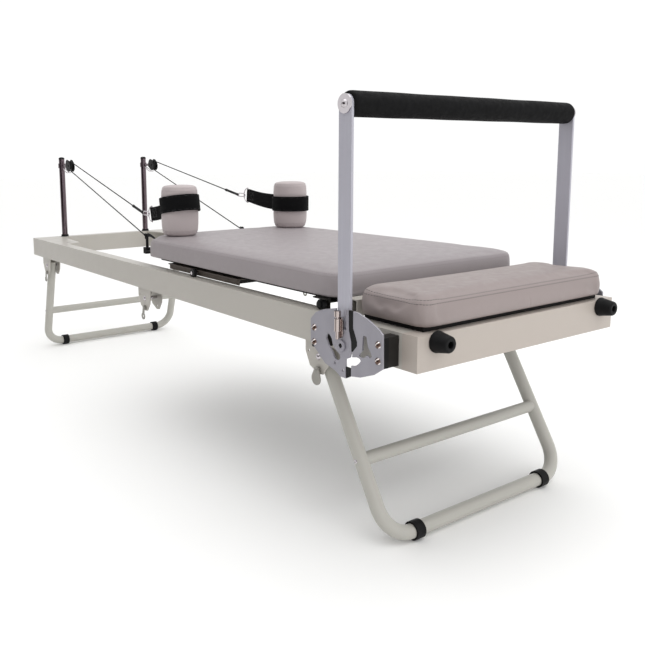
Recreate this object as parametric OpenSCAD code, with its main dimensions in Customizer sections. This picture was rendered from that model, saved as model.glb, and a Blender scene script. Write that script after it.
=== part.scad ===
// Folding pilates reformer: a steel frame on two U-shaped folding legs, with a
// spring-loaded carriage, rope pulleys on risers, a tilting footbar and a
// padded standing platform. X runs from the head end to the foot end, Z is up,
// and the floor is Z = 0. Lengths along the frame are counted from its head face.

/* [Frame] */
// Length of the frame
frame_l = 2240; // [2000:10:2500]
// Width of the frame over its rails
frame_w = 660; // [620:10:720]
// Height of the frame's top face above the floor
frame_top = 480; // [460:5:520]
// Height of a rail
rail_h = 72; // [60:1:80]
// Width of a rail
rail_w = 40; // [36:1:44]
// Wall of the steel tubes
wall = 2.5; // [1.5:0.5:3]

/* [Risers and pulleys] */
// Height of the riser tops above the frame
riser_h = 336; // [300:1:400]
// Distance between the two risers
riser_gap = 390; // [340:10:440]
// Diameter of a riser
riser_d = 24; // [22:1:26]
// Reach of the pulley in front of its riser
pulley_reach = 102; // [90:1:110]
// Radius of a pulley
pulley_r = 22; // [21:1:24]
// Diameter of the rope
rope_d = 4; // [3:0.5:5]

/* [Carriage] */
// Distance of the cushion's head edge from the head face
carriage_x = 1000; // [990:1:1003]
// Length of the cushion
carriage_l = 990; // [960:1:993]
// Width of the cushion
carriage_w = 640; // [600:5:650]
// Thickness of the cushion
cushion_h = 60; // [50:1:70]
// Travel of the carriage towards the head
carriage_travel = 600; // [400:10:600]
// Radius of a carriage wheel
wheel_r = 12; // [11:0.5:13]
// Distance between the two shoulder rests
rest_gap = 436; // [420:1:450]
// Height of a shoulder rest
rest_h = 158; // [140:1:180]
// Largest radius of a shoulder rest
rest_r = 60; // [56:0.5:61]

/* [Platform and bumpers] */
// Length of the platform pad
pad_l = 196; // [170:1:198]
// Width of the platform pad
pad_w = 616; // [590:2:618]
// Thickness of the platform pad
pad_h = 58; // [45:1:65]
// Length of a bumper
bumper_l = 36; // [30:1:60]

/* [Footbar] */
// Distance of the footbar's pivot from the head face
pivot_x = 2075; // [2070:1:2080]
// Height of the pivot above the floor
pivot_z = 437; // [432:1:442]
// Distance from the pivot to the footbar's cross tube
bar_h = 482; // [420:1:520]
// Width of a footbar upright
bar_w = 38; // [34:1:38]
// Radius of the foam grip
grip_r = 26; // [22:0.5:28]

/* [Legs] */
// Height of the leg pivots above the floor
leg_pivot_z = 375; // [370:1:378]
// Distance of the head legs' pivot from the head face
head_pivot_x = 140; // [130:1:160]
// Distance of the head legs' floor tube from the head face
head_floor_x = 30; // [25:1:60]
// Distance of the foot legs' pivot from the head face
foot_pivot_x = 1937; // [1915:1:1945]
// Distance of the foot legs' floor tube from the head face
foot_floor_x = 2142; // [2120:1:2160]
// Diameter of a leg tube
leg_d = 32; // [28:1:34]
// Height of the leg crossbars above the floor
leg_bar_z = 168; // [150:1:200]

/* [Hidden] */
$fn = 48;

// the origin is below the middle of the whole object
head_x = -(frame_l + bumper_l) / 2;
frame_bottom = frame_top - rail_h;
half_w = frame_w / 2;
rail_in = half_w - rail_w;
left = -1;
right = 1;
sides = [left, right];
run_gap = 0.05;

// head end
riser_x = rail_w / 2;
riser_y = riser_gap / 2;
riser_r = riser_d / 2;
pulley_x = riser_x + pulley_reach;
pulley_z = frame_top + riser_h - 28;
rope_r = rope_d / 2;
rope_bend_r = pulley_r - 2.8;
axle_r = 4;
pulley_half = 7;

// carriage
board_z = frame_top + 20;
board_h = 10;
cushion_z = board_z + board_h + 0.3;
cushion_top = cushion_z + cushion_h - 0.3;
carriage_end = carriage_x + carriage_l;
half_c = carriage_w / 2;
chamfer_x = 94;
chamfer_y = 77;
board_inset = 38;
wheel_y = half_w - 21;
wheel_z = frame_top + wheel_r;
wheel_w = 10;
head_wheel_x = 1360;
foot_wheel_x = 1933;
wheel_axle_r = 3;
bracket_y = rail_in + 2;
truck_start = 1190;
truck_end = 1575;
rest_x = 1120;
rest_y = rest_gap / 2;
rest_z = cushion_top + 4.5;
strap_h = 50;
strap_zs = [rest_z + 97, rest_z + 84];
ring_xs = [910, 870];
ring_zs = [rest_z + 55, rest_z + 102];
ring_y = rest_y - 8;
ring_r = 26.5;
tab_halves = [[23, 23], [28, 23]];
wire_r = 2;
link_l = 40;
sleeve_l = 88;
cleat_x = 845;
cleat_y = 200;
cleat_z = board_z + 48;

// springs
spring_bar_x = 2003;
spring_bar_w = 34;
spring_bar_h = 36;
spring_z = board_z - 13;
spring_r = 10;
spring_ys = [-195, -65, 65, 195];
beam_x = 1500;
beam_w = 28;
beam_half = bracket_y - 28;
eye_r = 6;
eye_reach = 17;

// platform
pad_x = 2040;
board_edge = 9;
pad_z = frame_top + board_edge + 0.3;

// footbar and its index plates
bar_t = 6;
plate_t = 4;
plate_in = half_w + 40;
plate_out = plate_in + plate_t;
bar_in = half_w + 33;
bar_out = bar_in + bar_t;
bar_z = pivot_z + bar_h;
pivot_r = 6;
rear_bolts = [[-88, 21], [-88, -10]];
front_bolts = [[105, 22], [105, -10]];
bolt_r = 4;
plunger_x = -4;
plunger_y = plate_out + 8;
disc_r = 12;
disc_in = plate_out + 0.5;
disc_out = disc_in + 3.5;

// legs
leg_r = leg_d / 2;
leg_y = half_w - 30;
leg_bend_r = 68;
foot_r = 20;
leg_bolt_r = 5;
bracket_in = leg_y + leg_r + 3;
bracket_t = 3;
mid_x = 1065;
pin_at = [3, -29];

// X of a place counted from the head face
module at_head() translate([head_x, 0, 0]) children();

// both sides of the frame, drawn for the right and mirrored to the left
module both_sides() for (s = sides) scale([1, s, 1]) children();
module one_side(s) scale([1, s, 1]) children();

// a cylinder along Y from y0 to y1
module y_rod(r, y0, y1) translate([0, y1, 0]) rotate([90, 0, 0]) cylinder(r = r, h = y1 - y0);

// a cylinder along X from x0 to x1
module x_rod(r, x0, x1) translate([x0, 0, 0]) rotate([0, 90, 0]) cylinder(r = r, h = x1 - x0);

// a round rod between two points
module rod(p, q, r) {
    d = q - p;
    translate(p) rotate([0, acos(d[2] / norm(d)), atan2(d[1], d[0])]) cylinder(r = r, h = norm(d));
}

// a flat plate in the XZ plane, from y0 outwards
module side_plate(y0, t) translate([0, y0 + t, 0]) rotate([90, 0, 0]) linear_extrude(t) children();

// a slot with round ends between two points
module slot2d(a, b, w) {
    d = b - a;
    translate(a) circle(d = w);
    translate(b) circle(d = w);
    translate(a) rotate(atan2(d[1], d[0])) translate([0, -w / 2]) square([norm(d), w]);
}

// a domed bolt head along +Y, its seat at y0
module dome_head(r, h, y0) {
    big = (r * r + h * h) / (2 * h);
    intersection() {
        translate([0, y0 + h - big, 0]) sphere(r = big);
        y_rod(r, y0, y0 + h);
    }
}

// a rounded rectangle centred on Y, from x = 0
module round_rect(l, w, r) {
    translate([r, -w / 2]) square([l - 2 * r, w]);
    translate([0, -w / 2 + r]) square([l, w - 2 * r]);
    for (x = [r, l - r], y = [r - w / 2, w / 2 - r]) translate([x, y]) circle(r = r);
}

// ---- frame ----
module rail(s) at_head() one_side(s) difference() {
    translate([rail_w, rail_in, frame_bottom]) cube([frame_l - 2 * rail_w, rail_w, rail_h]);
    translate([rail_w - 1, rail_in + wall, frame_bottom + wall])
        cube([frame_l - 2 * rail_w + 2, rail_w - 2 * wall, rail_h - 2 * wall]);
    for (b = concat(rear_bolts, front_bolts))
        translate([pivot_x + b[0], 0, pivot_z + b[1]]) y_rod(bolt_r + 0.3, half_w - wall - 1, half_w + 1);
}
module rail_left() color("#b8b4ac") rail(left);
module rail_right() color("#b8b4ac") rail(right);

module crossbar(x) at_head() translate([x, 0, frame_bottom]) difference() {
    translate([0, -half_w, 0]) cube([rail_w, frame_w, rail_h]);
    translate([wall, wall - half_w, wall]) cube([rail_w - 2 * wall, frame_w - 2 * wall, rail_h - 2 * wall]);
    for (s = sides) translate([rail_w / 2, s * (half_w - 20), -1]) cylinder(r = 4, h = wall + 2);
}
module head_crossbar() color("#b8b4ac") crossbar(0);
module foot_crossbar() color("#cbc4b8") crossbar(frame_l - rail_w);

module spring_bar() color("#b8b4ac") at_head() translate([spring_bar_x, 0, frame_top]) difference() {
    translate([0, -rail_in - 8, 0]) cube([spring_bar_w, 2 * rail_in + 16, spring_bar_h]);
    translate([wall, -rail_in - 9, wall])
        cube([spring_bar_w - 2 * wall, 2 * rail_in + 18, spring_bar_h - 2 * wall]);
    for (y = spring_ys) translate([0, y, spring_z - frame_top]) x_rod(3.2, -1, wall + 1);
}

gusset_slot = [268, 266];
gusset_slot_w = 9;
gusset_slot_l = 30;
module head_gussets() color("#b8b4ac") at_head() both_sides()
    translate([0, 0, frame_top - 4]) linear_extrude(4) difference() {
        polygon([[rail_w, rail_in], [320, rail_in], [285, 232], [110, 218], [rail_w, 190]]);
        translate(gusset_slot) slot2d([0, -(gusset_slot_l - gusset_slot_w) / 2],
            [0, (gusset_slot_l - gusset_slot_w) / 2], gusset_slot_w);
    }

// ---- risers ----
// posts, each with the clamp and the stem that carry its pulley block
module riser_posts() color("silver") at_head() both_sides() {
    translate([riser_x, riser_y, frame_top]) difference() {
        union() {
            cylinder(r = riser_r, h = riser_h);
            translate([0, 0, pulley_z - frame_top - 10]) cylinder(r = riser_r + 3, h = 20);
        }
        translate([0, 0, 2]) cylinder(r = riser_r - 2, h = riser_h);
    }
    translate([0, riser_y, pulley_z]) {
        x_rod(5, riser_x + riser_r - 1, block_back);
        x_rod(8, block_back - 14, block_back - 4);
    }
}

module post_trim() color("#1c1c1e") at_head() both_sides() translate([riser_x, riser_y, frame_top]) {
    difference() {
        rotate_extrude() polygon([[0, 0], [17, 0], [17, 2], [15, 4], [15, 9], [0, 9]]);
        translate([0, 0, -1]) cylinder(r = riser_r + run_gap, h = 11);
    }
    translate([0, 0, riser_h - 12]) cylinder(r = riser_r - 2 - run_gap, h = 12);
    translate([0, 0, riser_h]) rotate_extrude()
        polygon([[0, 0], [riser_r + 0.6, 0], [riser_r + 0.6, 3], [riser_r - 1, 6.5],
            [riser_r - 5, 8.5], [0, 9.5]]);
}

// the black housing round each pulley: two tilted cheeks, a bridge and the pulley's pin
cheek_in = pulley_half + 0.5;
cheek_t = 3;
block_back = pulley_x - pulley_r - 8;
block_half = 8;
cheek_outline = [[block_back - pulley_x, -block_half], [block_back - pulley_x, block_half],
    [-25, 19], [-14, 26.5],
    [1, 24], [17, 13], [24.5, -2], [22.5, -15], [11, -24], [-4, -24], [-17, -16]];
module pulley_blocks() color("#18181a") at_head() both_sides() translate([0, riser_y, pulley_z]) {
    for (y0 = [cheek_in, -cheek_in - cheek_t]) side_plate(y0, cheek_t)
        translate([pulley_x, 0]) polygon(cheek_outline);
    translate([block_back, -cheek_in, -block_half]) cube([5.5, 2 * cheek_in, 2 * block_half]);
    translate([pulley_x, 0, 0]) y_rod(axle_r, -cheek_in - cheek_t - 2, cheek_in + cheek_t + 2);
}

module pulley(s) color("#1c1c1e") at_head() translate([pulley_x, s * riser_y, pulley_z])
    rotate([90, 0, 0]) rotate_extrude() polygon([
        [axle_r + run_gap, -pulley_half], [pulley_r - 2, -pulley_half], [pulley_r, -pulley_half + 1],
        [pulley_r - 5, -3.3], [pulley_r - 5, 3.3],
        [pulley_r, pulley_half - 1], [pulley_r - 2, pulley_half], [axle_r + run_gap, pulley_half]]);
module pulley_left() pulley(left);
module pulley_right() pulley(right);

// ---- platform ----
module platform_board() color("#1c1c1e") at_head()
    translate([pad_x + 14, -rail_in - 3, frame_top]) cube([pad_l - 30, 2 * rail_in + 6, board_edge]);

module platform_pad() color("#b8afad") at_head()
    translate([pad_x, 0, pad_z]) linear_extrude(pad_h) round_rect(pad_l, pad_w, 30);

bumper_y = half_w - 52;
bumper_z = frame_top - 16;
module bumpers() color("#202022") at_head() for (s = sides)
    translate([frame_l, s * bumper_y, bumper_z]) rotate([0, 90, 0]) rotate_extrude()
        polygon([[0, 0], [22, 0], [22, 4], [21, 7], [16.5, bumper_l - 3], [14.5, bumper_l],
            [7, bumper_l], [7, bumper_l - 22], [0, bumper_l - 22]]);

// ---- index plates ----
// outlines are counted from the footbar's pivot
rear_outline = [[-100, 39], [-82, 56], [-59, 65], [-24, 73], [-19, 74], [-19, 34], [13, 34],
    [13, 76], [20, 76], [21, 35], [28, 13], [29, -7], [25, -20], [12, -26], [13, -66],
    [-4, -66], [-20, -57], [-52, -49], [-75, -31], [-100, -10]];
front_outline = [[34, 76], [48, 75], [77, 66], [105, 53], [117, 44], [118, -23], [93, -40],
    [56, -54], [29, -58], [29, -36], [36, -35], [44, -32], [52, -26], [57, -20], [54, -16], [46, -15],
    [37, -17], [31.5, -18], [33, -7], [46, 8], [46, 16], [40, 30], [34, 42]];
window_outline = [[62, 28], [64, 32], [69, 33], [73, 30], [77, 12], [85, 3], [88, -3], [86, -7], [81, -8],
    [74, -5], [66, -12], [54, -13], [51, -9], [61, 2], [61, 14]];
slot_outline = [[-49, 6], [-48, 12], [-44, 17], [-40, 17], [-35, 13], [-31, 8], [-27, -5], [-18, -13],
    [-7, -19], [-4, -24], [-5, -29], [-10, -33], [-17, -34], [-22, -31], [-29, -20], [-41, -8]];
gap_outline = [[20, 76], [34, 76], [34, 42], [40, 30], [46, 16], [46, 8],
    [33, -7], [29, -7], [28, 13], [21, 35]];
low_gap_outline = [[12.4, -42], [29, -42], [29, -58], [13, -66]];

module at_pivot() at_head() translate([pivot_x, 0, pivot_z]) children();

module bolt_holes(places, r) for (b = places) translate(b) circle(r = r);

module index_plates_rear() color("#98989f") at_pivot() both_sides() side_plate(plate_in, plate_t)
    difference() {
        polygon(rear_outline);
        bolt_holes(rear_bolts, bolt_r + 0.3);
        circle(r = pivot_r);
        polygon(slot_outline);
        translate([-21, -41]) circle(r = 3);
        translate([4, -51]) circle(r = 3);
    }

module index_plates_front() color("#98989f") at_pivot() both_sides() side_plate(plate_in, plate_t)
    difference() {
        polygon(front_outline);
        bolt_holes(front_bolts, bolt_r + 0.3);
        polygon(window_outline);
    }

// welded blocks on the rails that carry the plates
block_t = 28;
module plate_blocks() color("#b8b4ac") at_pivot() both_sides() {
    for (b = [[-100, 22, rear_bolts], [93, 24, front_bolts]]) side_plate(half_w, block_t) difference() {
        translate([b[0], -23]) square([b[1], 60]);
        bolt_holes(b[2], bolt_r + 0.3);
    }
}

// black nylon spacers behind the plates, and the strip in the gap between them
module plate_spacers() color("#161618") at_pivot() both_sides() {
    spacer_t = plate_in - half_w - block_t;
    for (b = [[-100, 22, rear_bolts], [93, 25, front_bolts]])
        side_plate(half_w + block_t, spacer_t) difference() {
            translate([b[0], -23]) square([b[1], 60]);
            bolt_holes(b[2], bolt_r + 0.3);
        }
    side_plate(plate_in, plate_t - 1) {
        polygon(gap_outline);
        polygon(low_gap_outline);
    }
}

module plate_bolts() color("silver") at_pivot() both_sides() for (b = concat(rear_bolts, front_bolts))
    translate([b[0], 0, b[1]]) {
        y_rod(bolt_r, half_w - wall - 3, plate_out);
        dome_head(7.5, 5, plate_out);
    }

// upright sleeves that guide the footbar's spring plungers
plunger_rod_r = 4;
module plunger_housings() color("silver") at_pivot() both_sides() difference() {
    union() {
        side_plate(plate_out, 3) slot2d([plunger_x, 25], [plunger_x, 49], 20);
        translate([plunger_x, plunger_y, 30]) cylinder(r = 6.5, h = 26);
    }
    translate([plunger_x, plunger_y, 29]) cylinder(r = plunger_rod_r + run_gap, h = 28);
}

module plunger(s) color("silver") at_pivot() one_side(s) translate([plunger_x, plunger_y, 0]) {
    translate([0, 0, disc_r + 1.5]) cylinder(r = plunger_rod_r, h = 49);
    translate([0, 0, 60]) cylinder(r = 7, h = 12);
}
module plunger_left() plunger(left);
module plunger_right() plunger(right);

// ---- leg brackets ----
bracket_outline = [[-46, 30], [-46, 6], [-30, -26], [0, -40], [16, -38], [34, -14], [40, 30]];
module leg_bracket(x) translate([x, 0, leg_pivot_z]) {
    top = frame_bottom - leg_pivot_z;
    translate([-46, 2 * leg_y - bracket_in - bracket_t, top - 3])
        cube([86, 2 * (bracket_in - leg_y + bracket_t), 3]);
    for (y0 = [bracket_in, 2 * leg_y - bracket_in - bracket_t]) side_plate(y0, bracket_t) difference() {
        polygon(bracket_outline);
        circle(r = leg_bolt_r);
        translate(pin_at) circle(r = 4 + run_gap);
        translate([-34, 8]) circle(r = 3);
    }
}
module leg_brackets() color("#b8b4ac") at_head() both_sides()
    for (x = [head_pivot_x, mid_x, foot_pivot_x]) leg_bracket(x);

module leg_pivot_bolts() color("silver") at_head() both_sides()
    for (x = [head_pivot_x, mid_x, foot_pivot_x]) translate([x, 0, leg_pivot_z]) {
        y_rod(leg_bolt_r - 0.01, 2 * leg_y - bracket_in - bracket_t - 6, bracket_in + bracket_t);
        dome_head(8, 5, bracket_in + bracket_t);
        y_rod(8, 2 * leg_y - bracket_in - bracket_t - 6, 2 * leg_y - bracket_in - bracket_t);
    }

// a spring pin with its knob and a pull ring or round tab; its tip stops just short of the leg
module leg_pin(x, s, tab = false) color("#a9a59c") at_head() one_side(s)
    translate([x + pin_at[0], 0, leg_pivot_z + pin_at[1]]) {
        knob_in = bracket_in + bracket_t + 0.5;
        y_rod(4, leg_y + leg_r + 2.5, knob_in + 6);
        y_rod(7, knob_in, knob_in + 5);
        if (tab) {
            side_plate(knob_in + 5, 2.5) hull() {
                circle(r = 8);
                translate([-2, -20]) circle(r = 15);
            }
            dome_head(5.5, 3.5, knob_in + 7.5);
        } else side_plate(knob_in + 5, 2.5) difference() {
            union() {
                slot2d([0, 0], [-3, -20], 11);
                translate([-4, -28]) circle(r = 11);
            }
            translate([-4, -28]) circle(r = 5);
        }
    }
module head_pin_left() leg_pin(head_pivot_x, left);
module head_pin_right() leg_pin(head_pivot_x, right);
module mid_pin_left() leg_pin(mid_x, left);
module mid_pin_right() leg_pin(mid_x, right);
module foot_pin_left() leg_pin(foot_pivot_x, left, true);
module foot_pin_right() leg_pin(foot_pivot_x, right, true);

// ---- folding legs ----
// drawn hanging straight down from the pivot, then leaned to reach the floor
leg_drop = leg_pivot_z - foot_r;
leg_stub = 17;
function leg_lean(px, fx) = atan2(fx - px, leg_drop);
function leg_len(px, fx) = norm([fx - px, leg_drop]);

module leaned(px, fx) at_head() translate([px, 0, leg_pivot_z]) rotate([0, -leg_lean(px, fx), 0]) children();

module leg_frame(px, fx) leaned(px, fx) {
    len = leg_len(px, fx);
    bar = leg_len(px, fx) - (leg_bar_z - foot_r) / cos(leg_lean(px, fx));
    difference() {
        union() {
            both_sides() {
                translate([0, leg_y, leg_bend_r - len]) cylinder(r = leg_r, h = len - leg_bend_r + leg_stub);
                translate([0, leg_y - leg_bend_r, leg_bend_r - len]) rotate([0, 90, 0])
                    rotate_extrude(angle = 90) translate([leg_bend_r, 0]) circle(r = leg_r);
            }
            translate([0, 0, -len]) y_rod(leg_r, leg_bend_r - leg_y, leg_y - leg_bend_r);
            translate([0, 0, -bar]) y_rod(14.5, -leg_y, leg_y);
        }
        both_sides() y_rod(leg_bolt_r + run_gap, leg_y - leg_r - 1, leg_y + leg_r + 1);
    }
}
module head_leg_frame() color("#b0afa8") leg_frame(head_pivot_x, head_floor_x);
module foot_leg_frame() color("#b0afa8") leg_frame(foot_pivot_x, foot_floor_x);

// rubber sleeves on the floor tube, beside its bends, with a flat underside
foot_sleeve_l = 26;
foot_flat = 0.5;
module leg_feet(fx) color("#1c1c1e") at_head() both_sides()
    translate([fx, leg_y - leg_bend_r - foot_sleeve_l, foot_r]) difference() {
        y_rod(foot_r + foot_flat, 0, foot_sleeve_l);
        y_rod(leg_r, -1, foot_sleeve_l + 1);
        translate([-foot_r, -1, -foot_r - 5]) cube([2 * foot_r, foot_sleeve_l + 2, 5]);
    }
module head_leg_feet() leg_feet(head_floor_x);
module foot_leg_feet() leg_feet(foot_floor_x);

// ---- carriage ----
// plan of the carriage with its head corners cut back
module carriage_plan(inset, corner) {
    x0 = carriage_x + inset * 0.4;
    x1 = carriage_end - inset * 0.6;
    y1 = half_c - inset;
    polygon([[x0, -y1 + chamfer_y], [x0 + chamfer_x, -y1], [x1 - corner, -y1], [x1, -y1 + corner],
        [x1, y1 - corner], [x1 - corner, y1], [x0 + chamfer_x, y1], [x0, y1 - chamfer_y]]);
}

module carriage_board() color("#1c1c1e") at_head() translate([0, 0, board_z])
    linear_extrude(board_h) carriage_plan(board_inset, 12);

rest_stem_r = 12;
module carriage_cushion() color("#beb5b4") at_head() difference() {
    translate([0, 0, cushion_z]) linear_extrude(cushion_top - cushion_z) carriage_plan(0, 30);
    for (s = sides) translate([rest_x, s * rest_y, cushion_z - 1])
        cylinder(r = rest_stem_r + 0.5, h = cushion_h + 2);
}

// black angles under the cushion's edges that hold the head wheels
module truck_angles() color("#1e1e20") at_head() both_sides() difference() {
    union() {
        translate([truck_start, bracket_y, frame_top + 3]) cube([truck_end - truck_start, 3, 17]);
        translate([truck_start, bracket_y - 26, board_z - 3]) cube([truck_end - truck_start, 34, 3]);
    }
    translate([head_wheel_x, 0, wheel_z]) y_rod(wheel_axle_r, bracket_y - 1, bracket_y + 4);
}

module wheel_brackets() color("#1e1e20") at_head() both_sides() difference() {
    union() {
        translate([foot_wheel_x - 10, bracket_y, frame_top + 1]) cube([20, 3, 19]);
        translate([foot_wheel_x - 20, bracket_y - 24, board_z - 3]) cube([41, 25, 3]);
        translate([foot_wheel_x - 20, bracket_y + 9, board_z + 5.5]) cube([41, 18, 3]);
        translate([foot_wheel_x + 13, bracket_y + 9, board_z]) cube([8, 3, 6]);
        translate([foot_wheel_x + 13, bracket_y + 1, board_z - 3]) cube([8, 11, 3]);
    }
    translate([foot_wheel_x, 0, wheel_z]) y_rod(wheel_axle_r, bracket_y - 1, bracket_y + 4);
}

module wheel_axles() color("silver") at_head() both_sides()
    for (x = [head_wheel_x, foot_wheel_x]) translate([x, 0, wheel_z]) {
        y_rod(wheel_axle_r, bracket_y - 3, wheel_y + wheel_w / 2 + 1);
        y_rod(5, bracket_y + 3, wheel_y - wheel_w / 2 - 0.5);
        y_rod(5, wheel_y + wheel_w / 2 + 0.5, wheel_y + wheel_w / 2 + 2.5);
    }

module wheel(x, s) color("#26262a") at_head() one_side(s) translate([x, 0, wheel_z]) difference() {
    y_rod(wheel_r - run_gap, wheel_y - wheel_w / 2, wheel_y + wheel_w / 2);
    y_rod(wheel_axle_r + run_gap, wheel_y - wheel_w / 2 - 1, wheel_y + wheel_w / 2 + 1);
}
module wheel_head_left() wheel(head_wheel_x, left);
module wheel_head_right() wheel(head_wheel_x, right);
module wheel_foot_left() wheel(foot_wheel_x, left);
module wheel_foot_right() wheel(foot_wheel_x, right);

// an eye bolt along X, its ring at the end
module eye(x_from, x_ring) {
    x_rod(2.5, min(x_from, x_ring + eye_r), max(x_from, x_ring - eye_r));
    translate([x_ring, 0, 0]) rotate([90, 0, 0]) rotate_extrude() translate([eye_r, 0]) circle(r = 2);
}

module spring_beam() color("#1e1e20") at_head() {
    translate([beam_x, -beam_half, board_z - 3]) cube([beam_w, 2 * beam_half, 3]);
    translate([beam_x + beam_w - 3, -beam_half, board_z - 22]) cube([3, 2 * beam_half, 22]);
}

spring_x0 = beam_x + beam_w + 0.3;
spring_x1 = spring_bar_x - eye_reach - eye_r - 3;
module springs() color("#8d8f94") at_head() for (y = spring_ys)
    translate([0, y, spring_z]) x_rod(spring_r, spring_x0, spring_x1);

module spring_hooks() color("silver") at_head() for (y = spring_ys)
    translate([0, y, spring_z]) {
        eye(spring_bar_x + wall + 4, spring_bar_x - eye_reach);
        x_rod(4.3, spring_bar_x + wall, spring_bar_x + wall + 4);
    }

// ---- shoulder rests ----
rest_profile = [[0, 0], [44, 0], [52, 5], [56, 18], [59, 45], [rest_r, 70], [rest_r, 104], [58.5, 130],
    [57, rest_h - 9], [55, rest_h - 3], [50, rest_h], [0, rest_h]];
module rest(s) color("#b0a8a6") at_head() translate([rest_x, s * rest_y, rest_z])
    rotate_extrude() polygon(rest_profile);
module rest_left() rest(left);
module rest_right() rest(right);

module rest_bases() color("#1c1c1e") at_head() for (s = sides) translate([rest_x, s * rest_y, 0]) {
    translate([0, 0, cushion_z]) cylinder(r = rest_stem_r, h = rest_z - cushion_z - 0.3);
    translate([0, 0, cushion_top + 0.3]) cylinder(r = 38, h = rest_z - cushion_top - 0.6);
}

// webbing loop round each rest, with a tab that runs to its ring
module rest_straps() color("#161618") at_head() for (i = [0, 1]) {
    s = sides[i];
    translate([rest_x, s * rest_y, strap_zs[i] - strap_h / 2]) difference() {
        cylinder(r = rest_r + 4, h = strap_h);
        translate([0, 0, -1]) cylinder(r = rest_r + 1, h = strap_h + 2);
    }
    one_side(s) side_plate(ring_y - 2, 4) polygon([
        [rest_x - rest_r - 3, strap_zs[i] + tab_halves[i][0]],
        [ring_xs[i] + 3, ring_zs[i] + tab_halves[i][1]],
        [ring_xs[i] + 3, ring_zs[i] - tab_halves[i][1]],
        [rest_x - rest_r - 3, strap_zs[i] - tab_halves[i][0]]]);
}

// a D-ring at the strap's end and the upright quick link that holds the rope's sleeve
link_half = 6;
link_wire = 1.8;
link_reach = link_l - 6;
module strap_rings() color("silver") at_head() for (i = [0, 1])
    translate([ring_xs[i], sides[i] * ring_y, ring_zs[i]]) {
        translate([0, 0, -ring_r]) cylinder(r = wire_r, h = 2 * ring_r);
        rotate([90, 0, 0]) rotate(90) rotate_extrude(angle = 180) translate([ring_r, 0]) circle(r = wire_r);
        for (z = [-ring_r, ring_r]) translate([0, 0, z]) sphere(r = wire_r);
        for (e = [[-ring_r - link_reach, 90], [-ring_r + 6 - link_half, -90]])
            translate([e[0], 0, 0]) rotate([90, 0, 0]) rotate(e[1])
                rotate_extrude(angle = 180) translate([link_half, 0]) circle(r = link_wire);
        for (z = [-link_half, link_half]) translate([0, 0, z])
            x_rod(link_wire, -ring_r - link_reach, -ring_r + 6 - link_half);
    }

// ---- ropes ----
function sleeve_in(i) = [ring_xs[i] - ring_r - link_reach - link_half - link_wire - 0.5,
    sides[i] * ring_y, ring_zs[i]];
function pulley_c(i) = [pulley_x, sides[i] * riser_y, pulley_z];
// direction from a to b
function way(a, b) = (b - a) / norm(b - a);
function sleeve_out(i) = sleeve_in(i) + sleeve_l * way(sleeve_in(i), pulley_c(i) + [0, 0, rope_bend_r]);

module rope_sleeves() color("#161618") at_head() for (i = [0, 1])
    rod(sleeve_in(i), sleeve_out(i), rope_r + 3);

// an arm under the carriage's board, with a block and an eye that hold the rope's other end
cleat_w = 18;
module rope_cleats() color("#161618") at_head() both_sides() translate([cleat_x, cleat_y, 0]) {
    translate([-8, -cleat_w / 2, board_z - 5]) cube([carriage_x + 80 - cleat_x, cleat_w, 5]);
    translate([-14, -cleat_w / 2, board_z - 13]) cube([22, cleat_w, 22]);
    translate([0, 0, board_z]) cylinder(r = 5, h = cleat_z - board_z - 5);
    translate([0, 0, cleat_z]) rotate([90, 0, 0]) rotate_extrude() translate([7, 0]) circle(r = 2.5);
}

// the rope's route: sleeve, over the pulley, and back to the cleat
arc_steps = 18;
function rope_route(i) = let (
        c = pulley_c(i),
        up = sleeve_out(i) + 0.3 * way(sleeve_in(i), sleeve_out(i)),
        low = [cleat_x - 10.5, sides[i] * cleat_y, cleat_z],
        a_up = tangent_angle(c, up, 1),
        a_low = tangent_angle(c, low, -1))
    concat(
        [up, up + (arc_point(c, a_up) - up) / 2],
        [for (k = [0 : arc_steps]) arc_point(c, a_up + (a_low - a_up) * k / arc_steps)],
        [low + (arc_point(c, a_low) - low) / 2, low]);
function arc_point(c, a) = c + rope_bend_r * [cos(a), 0, sin(a)];
// angle on the pulley where a line from p leaves it, above (1) or below (-1)
function tangent_angle(c, p, side) = let (
        d = [p[0] - c[0], p[2] - c[2]],
        a = atan2(d[1], d[0]) + side * acos(rope_bend_r / norm(d)))
    side > 0 ? a : a + 360;

rope_sides = 8;
// one ring of points square to the route at place k
function ring_at(route, k) = let (
        t = way(route[max(k - 1, 0)], route[min(k + 1, len(route) - 1)]),
        u = way([0, 0, 0], cross(t, [0, 1, 0])),
        v = cross(t, u))
    [for (j = [0 : rope_sides - 1])
        route[k] + rope_r * (cos(j * 360 / rope_sides) * u + sin(j * 360 / rope_sides) * v)];
module swept_rope(route) {
    n = len(route);
    points = [for (k = [0 : n - 1]) each ring_at(route, k)];
    walls = [for (k = [0 : n - 2], j = [0 : rope_sides - 1]) let (a = k * rope_sides, b = (j + 1) % rope_sides)
        each [[a + j, a + b, a + rope_sides + j], [a + b, a + rope_sides + b, a + rope_sides + j]]];
    ends = [[for (j = [rope_sides - 1 : -1 : 0]) j], [for (j = [0 : rope_sides - 1]) (n - 1) * rope_sides + j]];
    polyhedron(points, concat(walls, ends));
}
module rope_left() color("#2a2a2c") at_head() swept_rope(rope_route(0));
module rope_right() color("#2a2a2c") at_head() swept_rope(rope_route(1));

// ---- footbar ----
module footbar_uprights() color("#98989f") at_pivot() both_sides() side_plate(bar_in, bar_t) difference() {
    slot2d([0, 0], [0, bar_h], bar_w);
    circle(r = pivot_r);
    translate([0, bar_h]) circle(r = pivot_r);
}

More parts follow.
